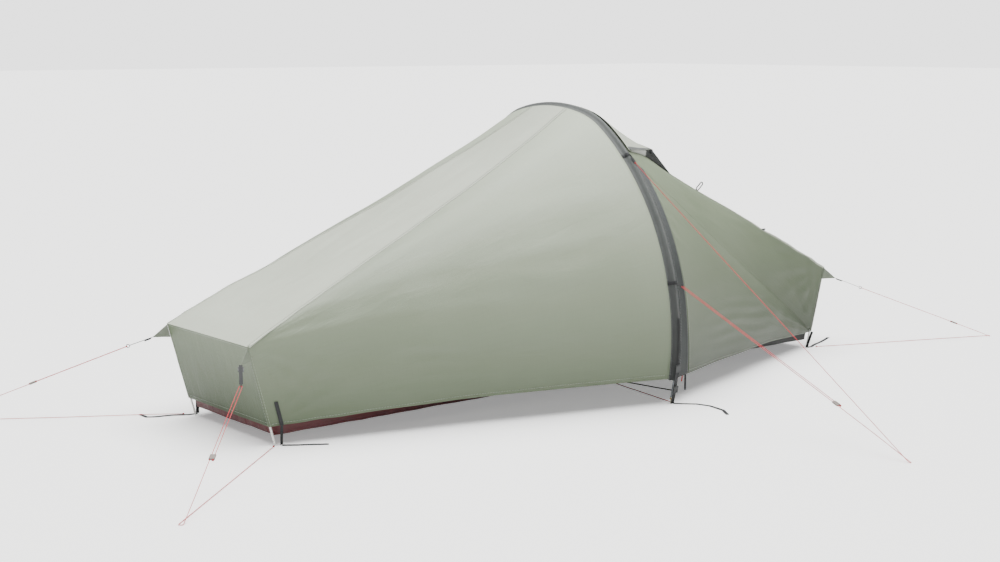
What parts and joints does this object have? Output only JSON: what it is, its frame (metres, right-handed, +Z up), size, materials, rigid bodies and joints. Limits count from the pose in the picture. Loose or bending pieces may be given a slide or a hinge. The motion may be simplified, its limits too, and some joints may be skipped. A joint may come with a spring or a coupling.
{
  "type": "single-hoop one-person tent",
  "caption": "Low one-person tent with a single hoop across it, sloping fly panels, two low end panels on corner struts, a hooded vent, a side door, a bathtub floor and guylines",
  "frame": {"origin": "On the underside of the groundsheet, on the ground, midway between the four strut feet", "axes": "+X along the tent towards the head end, +Y across it away from the door, +Z up; metres"},
  "size_m": [3.7689, 2.2459, 0.9559],
  "materials": {
    "pole_alloy": "anodised",
    "ferrule_alloy": "satin",
    "tip_alloy": "satin",
    "shock_cord": "braided",
    "sleeve_fabric": "woven, matt",
    "strut_fibreglass": "smooth",
    "fly_roof_fabric": "coated ripstop",
    "fly_side_fabric": "coated ripstop",
    "zip_tape": "woven",
    "zip_coil": "moulded",
    "slider_metal": "painted",
    "puller_cord": "braided",
    "stiffener_plastic": "moulded",
    "gusset_fabric": "coated ripstop",
    "vent_mesh": "fine mesh",
    "floor_fabric": "coated, slightly glossy",
    "inner_fabric": "uncoated ripstop",
    "webbing": "woven webbing",
    "buckle_plastic": "moulded",
    "grommet_brass": "bright",
    "guyline_cord": "braided",
    "runner_plastic": "moulded"
  },
  "bodies": {
    "tent": {"pole_leg_near": "pole_alloy", "pole_crown": "pole_alloy", "pole_leg_far": "pole_alloy", "pole_ferrules": "ferrule_alloy", "pole_tips": "tip_alloy", "shock_cord": "shock_cord", "sleeve_near": "sleeve_fabric", "sleeve_crown": "sleeve_fabric", "sleeve_far": "sleeve_fabric", "corner_struts": "strut_fibreglass", "roof_foot": "fly_roof_fabric", "side_foot_near": "fly_side_fabric", "side_foot_far": "fly_side_fabric", "end_foot": "fly_side_fabric", "roof_head": "fly_roof_fabric", "side_head_upper": "fly_side_fabric", "side_head_far": "fly_side_fabric", "end_head": "fly_side_fabric", "zip_flap": "sleeve_fabric", "zip_coil": "zip_coil", "vent_gussets": "gusset_fabric", "vent_front_mesh": "vent_mesh", "vent_window_mesh": "vent_mesh", "groundsheet": "floor_fabric", "tub_side_walls": "floor_fabric", "tub_end_walls": "floor_fabric", "inner_side_foot_near": "inner_fabric", "inner_side_foot_far": "inner_fabric", "inner_roof_foot": "inner_fabric", "inner_side_head_upper": "inner_fabric", "inner_side_head_far": "inner_fabric", "inner_roof_head": "inner_fabric", "inner_ends": "inner_fabric", "inner_hangers": "webbing", "corner_tabs": "fly_side_fabric", "corner_webbing": "webbing", "corner_buckles": "buckle_plastic", "hem_corner_straps": "webbing", "hoop_guy_straps": "webbing", "hoop_foot_straps": "webbing", "hoop_foot_buckles": "buckle_plastic", "pole_grommets": "grommet_brass", "floor_ties": "webbing", "small_loops": "webbing", "line_knots": "guyline_cord", "guyline_foot_near": "guyline_cord", "guyline_foot_far": "guyline_cord", "guyline_head_near": "guyline_cord", "guyline_hoop": "guyline_cord"},
    "fly_door": {"door": "fly_side_fabric", "door_zip_tape": "zip_tape"},
    "inner_tent_door": {"inner_door": "inner_fabric"},
    "slider": {"zip_slider": "slider_metal", "zip_puller": "puller_cord"},
    "hood": {"vent_hood": "fly_roof_fabric", "vent_stiffener": "stiffener_plastic"},
    "foot_near_runner": {"runner_foot_near": "runner_plastic"},
    "foot_far_runner": {"runner_foot_far": "runner_plastic"},
    "head_near_runner": {"runner_head_near": "runner_plastic"},
    "hoop_runner": {"runner_hoop": "runner_plastic"}
  },
  "joints": [
    {"name": "door_fold", "type": "hinge", "parent": "tent", "child": "fly_door", "pos_m": [1.20075, -0.245, 0.058], "axis": [-0.8299, -0.1015, 0.5487], "range_deg": [0, 115]},
    {"name": "inner_door_fold", "type": "hinge", "parent": "tent", "child": "inner_tent_door", "pos_m": [1.19344, -0.232, 0.09], "axis": [0.8115, -0.1306, -0.5696], "range_deg": [0, 50]},
    {"name": "zip_travel", "type": "hinge", "parent": "tent", "child": "slider", "pos_m": [0.1583, 0.20411, 0.19876], "axis": [-1, 0, 0], "range_deg": [0, 52]},
    {"name": "hood_tilt", "type": "hinge", "parent": "tent", "child": "hood", "pos_m": [0.1163, 0, 0.802], "axis": [0, 1, 0], "range_deg": [0, 1.5], "deforming": ["vent_front_mesh", "vent_gussets"]},
    {"name": "runner_foot_near_slide", "type": "slide", "parent": "tent", "child": "foot_near_runner", "axis": [0.6461, 0.6809, 0.3448], "range_m": [0, 0.2]},
    {"name": "runner_foot_far_slide", "type": "slide", "parent": "tent", "child": "foot_far_runner", "axis": [0.7388, -0.5701, 0.3593], "range_m": [0, 0.2]},
    {"name": "runner_head_near_slide", "type": "slide", "parent": "tent", "child": "head_near_runner", "axis": [-0.8432, 0.4039, 0.3547], "range_m": [0, 0.2]},
    {"name": "runner_hoop_slide", "type": "slide", "parent": "tent", "child": "hoop_runner", "axis": [0, 0.9197, 0.3925], "range_m": [0, 0.2]}
  ]
}
